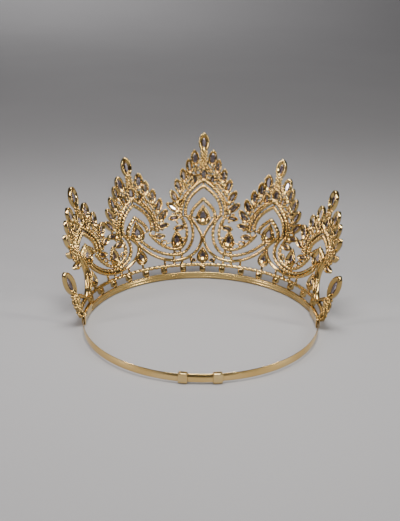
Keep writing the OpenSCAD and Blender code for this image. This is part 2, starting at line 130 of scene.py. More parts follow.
class Graph:
    """The node graph of one material, with a Principled surface."""

    def __init__(self, name: str) -> None:
        """Makes the material.

        Args:
            name: the material's name.
        """
        self.material = bpy.data.materials.new(name)
        self.material.use_nodes = True
        self.tree = self.material.node_tree
        self.tree.nodes.clear()
        self.surface = self.node("ShaderNodeBsdfPrincipled")
        output = self.node("ShaderNodeOutputMaterial")
        self.tree.links.new(self.surface.outputs[0], output.inputs["Surface"])

    def node(self, kind: str, settings: dict[str, Any] | None = None,
             inputs: dict[Any, Any] | None = None) -> bpy.types.Node:
        """Adds a node.

        Args:
            kind: the node's type.
            settings: its own settings.
            inputs: numbers, colours, Values or sockets, by socket name or number.

        Returns:
            The new node.
        """
        node = self.tree.nodes.new(kind)
        for key, setting in (settings or {}).items():
            setattr(node, key, setting)
        for key, given in (inputs or {}).items():
            self.feed(node, key, given)
        return node

    def feed(self, node: bpy.types.Node, key: Any, given: Any) -> None:
        """Sets one input of a node.

        Args:
            node: the node.
            key: the socket's name or number.
            given: a number, colour, Value or socket.
        """
        socket = node.inputs[key]
        if isinstance(given, Value):
            given = given.socket
        if isinstance(given, bpy.types.NodeSocket):
            self.tree.links.new(given, socket)
        elif isinstance(given, tuple) and len(given) == 3 and socket.type == "RGBA":
            socket.default_value = (*given, 1.0)
        else:
            socket.default_value = given

    def value(self, kind: str, settings: dict[str, Any] | None = None,
              inputs: dict[Any, Any] | None = None, output: Any = 0) -> Value:
        """Adds a node and wraps one of its outputs.

        Args:
            kind: the node's type.
            settings: its own settings.
            inputs: its socket values or links.
            output: the output's name or number.

        Returns:
            The output, ready for arithmetic.
        """
        return Value(self, self.node(kind, settings, inputs).outputs[output])

    def dress(self, inputs: dict[str, Any]) -> None:
        """Sets inputs of the surface, by name."""
        for key, given in inputs.items():
            self.feed(self.surface, key, given)

    def place(self) -> bpy.types.NodeSocket:
        """The point on the piece, in metres, in its own frame."""
        return self.node("ShaderNodeTexCoord").outputs["Object"]

    def noise(self, place: bpy.types.NodeSocket, scale: float, detail: float = 3.0) -> Value:
        """Soft noise from 0 to 1.

        Args:
            place: the coordinates.
            scale: how many features there are to a metre.
            detail: how many finer layers are added.

        Returns:
            The noise.
        """
        inputs = {"Vector": place, "Scale": scale, "Detail": detail}
        return self.value("ShaderNodeTexNoise", None, inputs, 0)

    def mix(self, factor: Any, first: Any, second: Any) -> bpy.types.NodeSocket:
        """Mixes two colours.

        Args:
            factor: 0 for the first colour, 1 for the second.
            first: a colour or socket.
            second: a colour or socket.

        Returns:
            The mixed colour.
        """
        node = self.node("ShaderNodeMix", {"data_type": "RGBA"}, {0: factor, 6: first, 7: second})
        return node.outputs[2]

    def bump(self, height: Value, distance: float, strength: float) -> None:
        """Raises the surface's grain.

        Args:
            height: the relief, from 0 to 1.
            distance: its depth in metres.
            strength: how much of it shows.
        """
        inputs = {"Height": height, "Distance": distance, "Strength": strength}
        node = self.node("ShaderNodeBump", None, inputs)
        self.feed(self.surface, "Normal", node.outputs[0])


# ---------------------------------------------------------------- finishes
@dataclass(frozen=True)
class GoldFinish:
    """Gold plate over cast or rolled brass, with its own colour drift and grain, and painted
    shade in its recesses.
    """

    name: str
    pale: Colour = (0.66, 0.475, 0.19)
    warm: Colour = (0.42, 0.28, 0.095)
    # The near-black colour serves both the painted shade in recesses and a little random tarnish.
    shade_and_tarnish: Colour = (0.07, 0.047, 0.024)
    gloss: float = 0.07
    drift: float = 34.0
    grain: float = 420.0
    relief: float = 0.0001
    strength: float = 0.3
    recess: float = 0.0022
    # How strongly recesses are darkened: painted shade.
    painted_recess_shade: float = 0.9
    cast_soil: float = 0.2
    brushed: bool = False
    line_pitch: float = 420.0
    line_turn: float = 0.9

    def material(self) -> bpy.types.Material:
        """Makes the material.

        Returns:
            The finished material.
        """
        graph = Graph(self.name)
        place = graph.place()
        drift = graph.noise(place, self.drift, 2.0)
        cast = graph.noise(place, self.grain, 4.0)
        pits = graph.noise(place, 2.7 * self.grain, 2.0)
        colour = graph.mix(drift.step(0.3, 0.72), self.pale, self.warm)
        # Painted shade: where ambient occlusion finds the surface enclosed, in recesses and where
        # parts meet, the colour is pulled towards the near-black colour; the cast noise adds a
        # little random tarnish as well.
        open_sky = graph.value("ShaderNodeAmbientOcclusion", {"samples": 6},
                               {"Distance": self.recess}, "AO")
        painted_shade_and_soil = ((1 - open_sky).step(0.22, 0.85) * self.painted_recess_shade
                + cast.step(0.6, 0.85) * self.cast_soil)
        graph.dress({"Base Color": graph.mix(painted_shade_and_soil, colour, self.shade_and_tarnish), "Metallic": 1.0,
                     "Roughness": self.gloss + pits * 0.05 + cast * 0.06})
        relief = cast * 0.75 + pits * 0.25
        if self.brushed:
            relief = relief * 0.4 + self.lines(graph, place) * 0.6
        graph.bump(relief, self.relief, self.strength)
        return graph.material

    def lines(self, graph: Graph, place: bpy.types.NodeSocket) -> Value:
        """Fine lines that run round the ring, left by rolling and polishing.

        Args:
            graph: the material's graph.
            place: the point on the piece.

        Returns:
            The lines' relief.
        """
        parts = graph.node("ShaderNodeSeparateXYZ", None, {0: place})
        across, back, up = (Value(graph, parts.outputs[i]) for i in range(3))
        turn = across.angle_of(back)
        inputs = {"X": turn * self.line_turn, "Y": up * self.line_pitch, "Z": 0.0}
        rolled = graph.node("ShaderNodeCombineXYZ", None, inputs)
        return graph.noise(rolled.outputs[0], 3.2, 3.0)


@dataclass(frozen=True)
class StoneFinish:
    """Cut crystal: each facet takes a different tone, between a painted glint and painted shade.
    """

    name: str
    light: Colour
    deep: Colour
    metallic: float
    gloss: float = 0.05
    cloud: float = 240.0
    polish: float = 900.0

    def material(self) -> bpy.types.Material:
        """Makes the material.

        Returns:
            The finished material.
        """
        graph = Graph(self.name)
        facet = graph.value("ShaderNodeAttribute", {"attribute_name": "facet"}, None, "Fac")
        cloud = graph.noise(graph.place(), self.cloud, 2.0)
        # Painted glints and painted shade: each facet is mixed between the light colour, standing
        # for a reflection, and the dark colour, standing for the stone's dark inside.
        glint_to_shade = (facet * 0.75 + cloud * 0.35).step(0.1, 0.95)
        graph.dress({"Base Color": graph.mix(glint_to_shade, self.light, self.deep),
                     "Metallic": self.metallic, "Roughness": self.gloss + cloud * 0.06,
                     "Coat Weight": 1.0, "Coat Roughness": 0.02, "IOR": 1.7})
        graph.bump(graph.noise(graph.place(), self.polish, 1.0), 0.00004, 0.15)
        return graph.material


@dataclass(frozen=True)
class StageFinish:
    """Matte studio paper, with the faintest mottling."""

    name: str = "studio_paper"
    light: Colour = (0.275, 0.272, 0.28)
    dark: Colour = (0.25, 0.247, 0.255)

    def material(self) -> bpy.types.Material:
        """Makes the material.

        Returns:
            The finished material.
        """
        graph = Graph(self.name)
        cloud = graph.noise(graph.place(), 3.5, 3.0)
        graph.dress({"Base Color": graph.mix(cloud, self.light, self.dark),
                     "Roughness": 0.6 + cloud * 0.1})
        return graph.material


class Finish(Enum):
    """Every finish on the crown."""

    BAND = GoldFinish("band_plate", gloss=0.2, brushed=True, relief=0.0002, strength=0.35)
    RAIL = GoldFinish("rail_plate", gloss=0.1)
    WIRE = GoldFinish("wire_plate", gloss=0.1, strength=0.4)
    SETTING = GoldFinish("setting_plate", gloss=0.08)
    STRIP = GoldFinish(
        "strip_plate", pale=(0.86, 0.62, 0.27), warm=(0.72, 0.48, 0.17), gloss=0.03,
        brushed=True, relief=0.00003, strength=0.1,
    )
    KEEPER = GoldFinish(
        "keeper_plate", pale=(0.86, 0.65, 0.32), warm=(0.66, 0.46, 0.18), gloss=0.05,
        strength=0.2,
    )
    # Both stone finishes are painted glints and painted shade; the back's is darker, painted
    # shade for the dark inside of the stone seen from behind.
    CROWN_FACETS = StoneFinish("crystal_face", (0.8, 0.79, 0.86), (0.12, 0.1, 0.15), 0.8)
    BACK_FACETS = StoneFinish("crystal_back", (0.74, 0.68, 0.76), (0.07, 0.045, 0.06), 0.7)

    def material(self) -> bpy.types.Material:
        """The finish's material, made once."""
        found = bpy.data.materials.get(self.value.name)
        return found or self.value.material()


# ---------------------------------------------------------------- meshes
def unit(vectors: np.ndarray) -> np.ndarray:
    """Vectors scaled to a length of 1."""
    return vectors / np.linalg.norm(vectors, axis=1)[:, None]


def run_of(line: np.ndarray) -> np.ndarray:
    """How far along a line each of its points lies."""
    return np.concatenate([[0.0], np.cumsum(np.linalg.norm(np.diff(line, axis=0), axis=1))])


def stand(name: str, data: bpy.types.ID) -> bpy.types.Object:
    """Puts a mesh, light or camera into the scene.

    Args:
        name: the name of its object.
        data: what the object shows.

    Returns:
        The object.
    """
    made = bpy.data.objects.new(name, data)
    bpy.context.scene.collection.objects.link(made)
    return made


class Form:
    """The shells of one piece, gathered until its mesh is made.

    Its constants say how a wire is cast, as shares of its radius: the height of its swellings and
    ridges, how far the ridges stand out of the wall, and the width and length of its round ends.
    """

    SWELL = 0.13
    RIDGE = 0.12
    RIDGE_LIFT = 1.06
    TAPER = 0.6
    END_LENGTH = 0.45

    def __init__(self, seed: int = 1) -> None:
        """Starts an empty form.

        Args:
            seed: where the random draws start that set each stone facet's painted glint and
                painted shade.
        """
        self.points: list[np.ndarray] = []
        self.faces: list[tuple[int, ...]] = []
        self.looks: list[int] = []
        self.smooth: list[bool] = []
        self.facet_draws: list[float] = []
        self.count = 0
        self.draw = random.Random(seed)

    def add(self, points: np.ndarray, faces: Sequence[Sequence[int]],
            looks: Sequence[int] | None = None, smooth: bool = True) -> None:
        """Adds one shell.

        Args:
            points: its corners, in millimetres.
            faces: corner numbers of each face.
            looks: which of the piece's materials each face takes; the first if not given.
            smooth: whether its faces are shaded as one curve.
        """
        self.faces += [tuple(self.count + corner for corner in face) for face in faces]
        self.looks += looks or [0] * len(faces)
        self.smooth += [smooth] * len(faces)
        self.facet_draws += [self.draw.random() for _ in faces]
        self.points.append(np.asarray(points, float))
        self.count += len(points)

    def loft(self, rings: np.ndarray, looped: bool = False) -> None:
        """Joins rings of equal length into one closed shell.

        Args:
            rings: an array of rings, each of points.
            looped: whether the last ring joins the first; if not, both ends are closed.
        """
        count, around = rings.shape[:2]
        faces: list[tuple[int, ...]] = []
        for i in range(count if looped else count - 1):
            a, b = i * around, ((i + 1) % count) * around
            for k in range(around):
                n = (k + 1) % around
                faces.append((a + k, a + n, b + n, b + k))
        if not looped:
            faces.append(tuple(range(around - 1, -1, -1)))
            last = (count - 1) * around
            faces.append(tuple(range(last, last + around)))
        self.add(rings.reshape(-1, 3), faces)

    def tube(self, path: np.ndarray, outs: np.ndarray, radius: float, sides: int,
             beading: float = 0.0, looped: bool = False, deep: bool = False) -> None:
        """Sweeps a wire along a path.

        Args:
            path: the middle line.
            outs: the wall's outward direction at each point.
            radius: the wire's radius.
            sides: how many faces go round it.
            beading: the pitch of the swellings along it, or 0 for plain wire.
            looped: whether the path closes on itself.
            deep: whether it is cast with a ridge at its front and its back.
        """
        along = unit(np.roll(path, -1, 0) - np.roll(path, 1, 0) if looped
                     else np.gradient(path, axis=0))
        across = unit(np.cross(along, outs))
        lift = np.cross(across, along)
        run = run_of(path)
        turn = 2 * np.pi * np.arange(sides) / sides
        wide = np.full((len(path), sides), radius)
        if beading:
            wide *= 1 + self.SWELL * np.cos(2 * np.pi * run[:, None] / beading + turn[None, :])
        if deep:
            wide *= 1 + self.RIDGE * np.cos(2 * turn)
            lift *= self.RIDGE_LIFT
        if not looped:
            wide[[0, -1]] *= self.TAPER
        rings = (
            path[:, None]
            + wide[..., None] * np.cos(turn)[None, :, None] * lift[:, None]
            + wide[..., None] * np.sin(turn)[None, :, None] * across[:, None]
        )
        if not looped:
            rings[0] -= along[0] * self.END_LENGTH * radius
            rings[-1] += along[-1] * self.END_LENGTH * radius
        self.loft(rings, looped)

    def bead(self, centre: np.ndarray, radius: float, rows: int = 5, around: int = 8) -> None:
        """Adds a small round grain.

        Args:
            centre: its middle.
            radius: its radius.
            rows: faces from pole to pole.
            around: faces round it.
        """
        points = [np.array([0.0, 0.0, 1.0])]
        for row in range(1, rows):
            dip = math.pi * row / rows
            for k in range(around):
                turn = 2 * math.pi * k / around
                flat = math.sin(dip)
                points.append(np.array([flat * math.cos(turn), flat * math.sin(turn),
                                        math.cos(dip)]))
        points.append(np.array([0.0, 0.0, -1.0]))
        last = len(points) - 1
        faces: list[tuple[int, ...]] = []
        for k in range(around):
            n = (k + 1) % around
            faces.append((0, 1 + k, 1 + n))
            low = 1 + (rows - 2) * around
            faces.append((last, low + n, low + k))
            for row in range(rows - 2):
                a, b = 1 + row * around, 1 + (row + 1) * around
                faces.append((a + k, b + k, b + n, a + n))
        self.add(np.asarray(centre) + radius * np.array(points), faces)

    def build(self, name: str, finishes: Sequence[Finish]) -> bpy.types.Object:
        """Makes the Blender object.

        Args:
            name: the object's name.
            finishes: its materials, in the order of the looks.

        Returns:
            The object, in metres.
        """
        mesh = bpy.data.meshes.new(name)
        points = np.concatenate(self.points) * MM
        mesh.from_pydata(points.tolist(), [], self.faces)
        mesh.polygons.foreach_set("use_smooth", self.smooth)
        mesh.polygons.foreach_set("material_index", self.looks)
        mesh.attributes.new("facet", "FLOAT", "FACE").data.foreach_set("value", self.facet_draws)
        for finish in finishes:
            mesh.materials.append(finish.material())
        mesh.validate()
        mesh.update()
        return stand(name, mesh)


def show(form: Form, node: str, finishes: Sequence[Finish], body: str = "tiara") -> None:
    """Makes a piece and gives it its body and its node.

    Args:
        form: the piece's shells.
        node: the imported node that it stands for.
        finishes: its materials.
        body: the body that it rides on.
    """
    piece = form.build(f"fine_{node}", finishes)
    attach(piece, body)
    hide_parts(node)
    LOG.info("%s: %d faces on %s", piece.name, len(piece.data.polygons), body)


def show_set(stem: str, plural: str, seats: Sequence[tuple["Setting", np.ndarray]], seed: int
             ) -> None:
    """Makes a piece of settings and a piece of the stones in them.

    Args:
        stem: how the two nodes' names start.
        plural: "s" if the names end in it.
        seats: each setting with its seat's matrix.
        seed: where the random draws start that set the stones' painted glints and painted shade.
    """
    cups, stones = Form(), Form(seed)
    for setting, seat in seats:
        setting.cup(cups, seat)
        setting.stone(stones, seat)
    show(cups, f"{stem}_setting{plural}", [Finish.SETTING])
    show(stones, f"{stem}_stone{plural}", [Finish.CROWN_FACETS, Finish.BACK_FACETS])


# ---------------------------------------------------------------- curves
def bezier(a: Sequence[float], b: Sequence[float], c: Sequence[float], d: Sequence[float],
           count: int = 40) -> np.ndarray:
    """Points along a cubic curve.

    Args:
        a: its start.
        b: the handle near the start.
        c: the handle near the end.
        d: its end.
        count: how many spans it has.

    Returns:
        An array of points.
    """
    t = np.linspace(0, 1, count + 1)[:, None]
    a, b, c, d = (np.asarray(p, float) for p in (a, b, c, d))
    return (1 - t) ** 3 * a + 3 * (1 - t) ** 2 * t * b + 3 * (1 - t) * t * t * c + t**3 * d


def nearest(line: np.ndarray, place: Sequence[float]) -> np.ndarray:
    """The point of a line that lies nearest a place."""
    return line[np.argmin(np.linalg.norm(line - np.asarray(place), axis=1))]


def mirrored(half: np.ndarray) -> np.ndarray:
    """A half arch, from its point to its foot, made whole."""
    return np.concatenate([half[:0:-1] * [-1, 1], half])


def evenly(line: np.ndarray, step: float) -> np.ndarray:
    """Points at an even spacing along a line.

    Args:
        line: the line's points.
        step: the spacing wanted.

    Returns:
        The new points, ends included.
    """
    run = run_of(line)
    count = max(2, round(run[-1] / step))
    marks = np.linspace(0, run[-1], count + 1)
    return np.stack([np.interp(marks, run, line[:, i]) for i in range(line.shape[1])], 1)


PEAR_FULLNESS = 1.19
PEAR_TAPER = 1.15
CUP_SIDES = 28
HALO_SIDES = 40
STONE_SIDES = 12
SQUARE_STONE_SIDES = 8
STONE_GAP = 0.06


class Outline(Enum):
    """The plan of a setting: how full its corners are."""

    LEAF = "leaf"
    PEAR = "pear"
    OVAL = "oval"
    SQUARE = "square"

    def points(self, size: Pair, inset: float = 0.0, count: int = CUP_SIDES, turn: float = 0.0
               ) -> np.ndarray:
        """The outline's points, drawn in by an inset.

        Args:
            size: length and width.
            inset: how far the outline is drawn in.
            count: how many points it has.
            turn: a shift along the outline, in steps.

        Returns:
            An array of points, anticlockwise.
        """
        draw_in = {Outline.LEAF: 3.0, Outline.PEAR: 2.6}.get(self, 2.0)
        half_l = max(0.05, size[0] - draw_in * inset) / 2
        half_w = max(0.04, size[1] - 2 * inset) / 2
        angle = 2 * np.pi * (np.arange(count) + turn) / count
        c, s = np.cos(angle), np.sin(angle)
        if self is Outline.PEAR:
            taper = np.abs(np.sin((np.pi / 2 - angle) / 2)) ** PEAR_TAPER
            return np.stack([half_w * PEAR_FULLNESS * c * taper, half_l * s], 1)
        power_x, power_y = {
            Outline.LEAF: (1.2, 1.0), Outline.OVAL: (0.9, 0.9), Outline.SQUARE: (0.45, 0.45),
        }[self]
        x = half_w * np.sign(c) * np.abs(c) ** power_x
        y = half_l * np.sign(s) * np.abs(s) ** power_y
        return np.stack([x, y], 1)


# ---------------------------------------------------------------- the wall and its settings
def hand(side: int) -> str:
    """The wearer's side as nodes spell it, from 1 or -1."""
    return "left" if side > 0 else "right"


@dataclass(frozen=True)
class Wall:
    """The leaning wall that the peaks stand on: part of a cone through the ring."""

    ring_r: float = 75.0
    lean: float = math.radians(16.5)
    rail_v: float = 9.9

    def radius(self, v: Any) -> Any:
        """The wall's radius at a height up the slant."""
        return self.ring_r + v * math.sin(self.lean)

    def degrees(self, x: float, v: float) -> float:
        """How many degrees of the ring a width covers at a height."""
        return math.degrees(x / self.radius(v))

    def normals(self, line: np.ndarray) -> np.ndarray:
        """The outward direction at each point of a line.

        Args:
            line: an array of bearing and height.

        Returns:
            An array of unit vectors.
        """
        a = np.radians(line[:, 0])
        out, down = math.cos(self.lean), math.sin(self.lean)
        return np.stack([out * np.sin(a), -out * np.cos(a), np.full(len(a), -down)], 1)

    def lay(self, line: Any, depth: Any = 0.0) -> np.ndarray:
        """Lays a line of bearings and heights on the wall.

        Args:
            line: an array of bearing and height.
            depth: how far out of the wall.

        Returns:
            Points in millimetres.
        """
        line = np.atleast_2d(np.asarray(line, float))
        r = self.radius(line[:, 1])
        a = np.radians(line[:, 0])
        flat = np.stack([r * np.sin(a), -r * np.cos(a), line[:, 1] * math.cos(self.lean)], 1)
        return flat + self.normals(line) * np.reshape(depth, (-1, 1))

    def seat(self, bearing: float, v: float, turn: float = 0.0) -> np.ndarray:
        """The seat of a setting: its matrix in millimetres.

        Args:
            bearing: the bearing.
            v: the height up the slant.
            turn: the setting's turn, clockwise as seen from the front.

        Returns:
            A 4 by 4 matrix.
        """
        spin = Matrix.Rotation(math.radians(bearing), 4, "Z")
        shift = Matrix.Translation((0, -self.radius(v), v * math.cos(self.lean)))
        tip = Matrix.Rotation(math.radians(90) + self.lean, 4, "X")
        roll = Matrix.Rotation(math.radians(-turn), 4, "Z")
        return np.array(spin @ shift @ tip @ roll)


WALL = Wall()


def wire(form: Form, line: np.ndarray, radius: float, beading: float = 0.0, step: float = 0.6
         ) -> None:
    """Lays a wire on the wall.

    Args:
        form: the piece that it joins.
        line: its bearings and heights.
        radius: its radius.
        beading: the pitch of its swellings, or 0.
        step: the spacing of its rings.
    """
    both = evenly(np.concatenate([WALL.lay(line), WALL.normals(line)], 1), step)
    form.tube(both[:, :3], both[:, 3:], radius, 14, beading, deep=True)


def stalk(form: Form, start: Sequence[float], end: Sequence[float], radius: float) -> None:
    """A short straight wire between two places on the wall."""
    line = np.linspace(np.asarray(start, float), np.asarray(end, float), 5)
    form.tube(WALL.lay(line), WALL.normals(line), radius, 8)


@dataclass(frozen=True)
class Setting:
    """A rimmed cup with a cut stone in it; its back is open over the stone's point.

    Rim, back and throat are how far those reach in from the outline, pocket is how deep the
    stone sits, rise how far it stands out, and halo the radius of a second wire round the cup.
    """

    outline: Outline
    size: Pair
    depth: float = 3.0
    rim: float = 0.6
    back: float = 0.8
    throat: float = 1.78
    pocket: float = 1.7
    rise: float = 1.1
    closed: bool = False
    halo: float = 0.0
    full_width: float = 5.2

    def cup(self, form: Form, seat: np.ndarray) -> None:
        """Adds the cup: a swept rim, rounded front and back.

        Args:
            form: the piece that it joins.
            seat: the seat's matrix.
        """
        half = self.depth / 2
        k = self.shrink
        rim, back, throat = self.rim * k, self.back * k, self.throat * k
        front = [
            (0.02, -half + 0.5), (0.08, 0.0), (0.02, half - 0.42), (rim * 0.18, half - 0.14),
            (rim * 0.5, half), (rim * 0.86, half - 0.06), (rim, half - 0.24),
            (rim, half - self.pocket + 0.1),
        ]
        if self.closed:
            dome = [(1.75, -half - 0.3), (1.3, -half - 0.26), (0.7, -half - 0.08),
                    (0.25, -half + 0.16)]
            profile = dome + front
        else:
            profile = [
                (throat, -0.35), (throat * 0.98, -0.48), (back * 1.1, -half + 0.38),
                (back * 0.9, -half + 0.1), (back * 0.6, -half), (back * 0.3, -half + 0.08),
                (back * 0.08, -half + 0.26),
            ] + front + [(throat, half - self.pocket)]
        rings = np.array([
            np.column_stack([self.outline.points(self.size, inset), np.full(CUP_SIDES, z)])
            for inset, z in profile
        ])
        form.loft(self.placed(rings, seat), looped=not self.closed)
        if self.halo:
            line = self.outline.points(self.size, -0.72 * self.halo, HALO_SIDES)
            path = self.placed(np.column_stack([line, np.full(HALO_SIDES, -0.45)]), seat)
            form.tube(path, np.tile(seat[:3, 2], (HALO_SIDES, 1)), self.halo, 9, looped=True)

    @property
    def shrink(self) -> float:
        """How much a small setting's rim is thinned."""
        return min(1.0, self.size[1] / self.full_width)

    def stone(self, form: Form, seat: np.ndarray) -> None:
        """Adds the stone: table, crown, girdle and a pointed back.

        Args:
            form: the piece that it joins.
            seat: the seat's matrix.
        """
        count = SQUARE_STONE_SIDES if self.outline is Outline.SQUARE else STONE_SIDES
        shrink = self.shrink
        girdle = self.rim * shrink + STONE_GAP
        throat = self.throat * shrink
        top = self.depth / 2
        levels = [
            (throat + 0.5 * shrink, -0.7, 0.5), (throat + STONE_GAP, -0.25, 0.0),
            (girdle, top - self.pocket + 0.15, 0.5), (girdle, top - 0.25, 0.0),
            (girdle + 0.32 * shrink, top + 0.5 * self.rise, 0.5),
            (girdle + 0.75 * shrink, top + self.rise, 0.0),
        ]
        rings = np.array([
            np.column_stack([self.outline.points(self.size, inset, count, turn),
                             np.full(count, z)])
            for inset, z, turn in levels
        ])
        faces: list[tuple[int, ...]] = []
        for low in range(len(levels) - 1):
            a, b = low * count, (low + 1) * count
            ahead = levels[low][2] > levels[low + 1][2]
            for k in range(count):
                n = (k + 1) % count
                if ahead:
                    faces += [(a + k, b + n, b + k), (a + k, a + n, b + n)]
                else:
                    faces += [(a + k, a + n, b + k), (a + n, b + n, b + k)]
        last = (len(levels) - 1) * count
        faces += [tuple(range(last, last + count)), tuple(range(count - 1, -1, -1))]
        # The pointed back and its tip take the second, darker finish: painted shade for the
        # stone's dark inside.
        at_back = 2 * 2 * count
        looks = [1] * at_back + [0] * (len(faces) - at_back - 1) + [1]
        form.add(self.placed(rings, seat).reshape(-1, 3), faces, looks, smooth=False)

    @staticmethod
    def placed(rings: np.ndarray, seat: np.ndarray) -> np.ndarray:
        """Moves rings to their seat."""
        return rings @ seat[:3, :3].T + seat[:3, 3]


Seated = tuple[Setting, np.ndarray, np.ndarray, float]


# ---------------------------------------------------------------- the peaks
# Length and width of the leaves of a column, and the turns of its first and last one
SHOULDER_LEAF: Pair = (11.0, 5.9)
COLUMN_LEAF: Pair = (10.4, 4.9)
FOOT_LEAF: Pair = (8.0, 4.0)
SHOULDER_DROP = 11.0
UPRIGHT, FLAT = 6.0, 98.0


@dataclass(frozen=True)
class Peak:
    """One pointed peak, in its own upright sheet: x across, v up the slant.

    The heights top, foot, pear, apex and low_pear are those of its top leaf, its lowest leaves,
    the pear in its arch, the arch's point and the pear over the rail.
    """

    name: str
    bearing: float
    tilt: float
    top: float
    foot: float
    pear: float
    apex: float
    pairs: int
    shoulder: float
    arch_w: float
    low_pear: float

    def on_wall(self, place: Any, side: int = 1) -> np.ndarray:
        """Turns places of the peak's sheet into bearings and heights.

        Args:
            place: one place or an array of them.
            side: 1 on the wearer's left, -1 on the right.

        Returns:
            An array of bearing and height.
        """
        place = np.atleast_2d(np.asarray(place, float))
        t = math.radians(self.tilt)
        up = place[:, 1] - WALL.rail_v
        x = place[:, 0] * math.cos(t) + up * math.sin(t)
        v = up * math.cos(t) - place[:, 0] * math.sin(t) + WALL.rail_v
        return np.stack([side * (self.bearing + np.degrees(x / WALL.radius(v))), v], 1)

    def leaves(self) -> np.ndarray:
        """Where one column's leaves sit, from the shoulder to the foot.

        Returns:
            An array of places on the sheet.
        """
        top = self.top - SHOULDER_DROP
        rise = top - self.foot
        return bezier([self.shoulder, top], [15, self.foot + 0.74 * rise],
                      [self.arch_w + 17.7, self.foot + 0.34 * rise],
                      [self.arch_w + 4.7, self.foot], self.pairs - 1)

    def leaf_turn(self, i: int) -> float:
        """A leaf stands nearly upright at the shoulder and lies flat at the foot."""
        return UPRIGHT + (FLAT - UPRIGHT) * min(1.0, i / (self.pairs - 1) / 0.87) ** 3.6

    def leaf_size(self, i: int) -> Pair:
        """Length and width of a column's leaf.

        Args:
            i: the leaf's number, from the shoulder down.

        Returns:
            The length and the width.
        """
        if i == 0:
            return SHOULDER_LEAF
        return FOOT_LEAF if i >= self.pairs - 2 else COLUMN_LEAF

    def leaf_root(self, i: int) -> np.ndarray:
        """The lower tip of a leaf.

        Args:
            i: the leaf's number, from the shoulder down.

        Returns:
            Its place on the sheet.
        """
        turn = math.radians(self.leaf_turn(i))
        reach = self.leaf_size(i)[0] / 2 - 0.3
        return self.leaves()[i] - reach * np.array([math.sin(turn), math.cos(turn)])

    def arch(self, grow: float) -> np.ndarray:
        """Half of one wire of the double arch, from its point to its foot.

        Args:
            grow: how far it stands outside the inner wire.

        Returns:
            An array of places on the sheet.
        """
        apex, foot = self.apex + 1.3 * grow, self.pear - 0.5 * grow
        rise, w = apex - foot, self.arch_w + 0.9 * grow
        return bezier([0, apex], [0.5 * w, foot + 0.8 * rise],
                      [1.14 * w, foot + 0.5 * rise], [w, foot])

    def inner_arch(self) -> np.ndarray:
        """Half of the arch round the pear.

        Returns:
            An array of places on the sheet.
        """
        apex, foot = self.apex - 9, self.pear - 1
        rise, w = apex - foot, self.arch_w
        return bezier([0, apex], [3, foot + 0.7 * rise], [0.7 * w, foot + 0.45 * rise],
                      [0.68 * w, foot])

    @property
    def oval(self) -> np.ndarray:
        """Where the oval under the stem sits."""
        return np.array([0.0, self.apex + 8.4])

    @property
    def small_leaf(self) -> np.ndarray:
        """Where the small leaf beside the oval sits."""
        return np.array([6.4, self.oval[1] - 3.8])

    @property
    def neck(self) -> float:
        """The height at which the ogee lines draw together."""
        return 16 + 0.31 * self.pear


CENTRE = Peak("centre", bearing=0, tilt=0, top=98, foot=37, pear=46, apex=67, pairs=8,
              shoulder=6.4, arch_w=12.8, low_pear=17.2)
INNER = Peak("inner", bearing=32.8, tilt=1, top=84, foot=32, pear=37.6, apex=57, pairs=7,
             shoulder=7.6, arch_w=11.6, low_pear=19.6)
OUTER = Peak("outer", bearing=67.6, tilt=-5.5, top=74, foot=31, pear=35, apex=49.5, pairs=5,
             shoulder=8.4, arch_w=10.8, low_pear=17.8)
ARCH_GROW = 3.4
ARCH_WIRE = 1.52
SWAG_WIRE = 1.36


